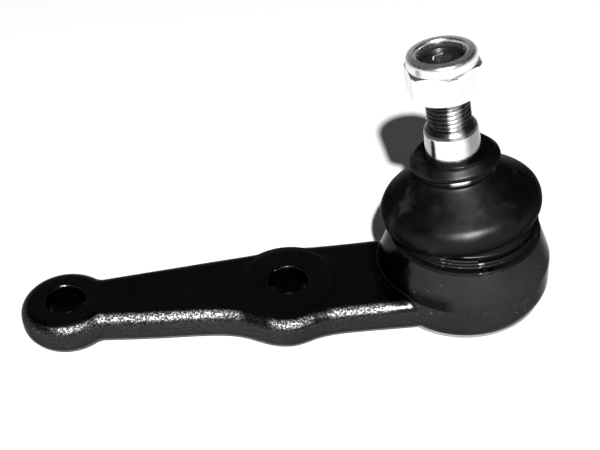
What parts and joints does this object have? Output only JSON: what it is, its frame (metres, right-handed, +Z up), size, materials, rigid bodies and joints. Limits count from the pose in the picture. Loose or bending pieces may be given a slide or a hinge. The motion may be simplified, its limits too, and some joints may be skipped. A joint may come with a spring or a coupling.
{
  "type": "suspension ball joint",
  "caption": "Suspension ball joint: forged black mounting arm with bolt holes, round housing, tapered swivelling stud with lock nut, rubber dust boot held by wire rings.",
  "frame": {"origin": "on the housing's axis, on the underside of the closing plate's centre, level with the rolled rim", "axes": "+Z up along the housing's axis towards the stud's nut; -X towards the free end of the arm; the two bolt holes lie on a line parallel to X at y = -4 mm"},
  "size_m": [0.1486, 0.0476, 0.0777],
  "materials": {
    "black_paint": "satin",
    "plate_steel": "satin",
    "seat_plastic": "satin",
    "turned_steel": "polished",
    "boot_rubber": "satin",
    "ring_wire": "satin",
    "zinc_plate": "bright",
    "nylon": "satin"
  },
  "bodies": {
    "arm": {"forged_arm_housing": "black_paint", "closing_plate": "plate_steel", "disc_spring": "plate_steel", "upper_bearing_seat": "seat_plastic", "boot_lower_ring": "ring_wire"},
    "boot_swing": {"lower_bearing_seat": "seat_plastic", "dust_boot": "boot_rubber"},
    "boot_neck": {"boot_upper_ring": "ring_wire"},
    "stud": {"ball_stud": "turned_steel"},
    "nut_carrier": {"nylon_insert": "nylon"},
    "nut": {"lock_nut": "zinc_plate"}
  },
  "joints": [
    {"name": "stud_lean_direction", "type": "hinge", "parent": "arm", "child": "boot_swing", "pos_m": [0, 0, 0.02], "axis": [0, 0, 1], "continuous": true},
    {"name": "stud_tilt", "type": "hinge", "parent": "boot_swing", "child": "boot_neck", "pos_m": [0, 0, 0.02], "axis": [-0.6519, -0.7583, 0], "range_deg": [-33.97, 16.03], "deforming": ["dust_boot"]},
    {"name": "stud_spin", "type": "hinge", "parent": "boot_neck", "child": "stud", "pos_m": [0, 0, 0.02], "axis": [-0.1183, 0.1017, 0.9878], "continuous": true},
    {"name": "nut_travel", "type": "slide", "parent": "stud", "child": "nut_carrier", "axis": [-0.1183, 0.1017, 0.9878], "range_m": [-0.0075, 0.00875]},
    {"name": "nut_turn", "type": "hinge", "parent": "nut_carrier", "child": "nut", "pos_m": [-0.0061, 0.00525, 0.07097], "axis": [-0.1183, 0.1017, 0.9878], "range_deg": [-2165, 2525]}
  ],
  "couplings": [
    {"joint": "nut_turn", "follows": "nut_travel", "rad_per_m": 5026.5}
  ]
}
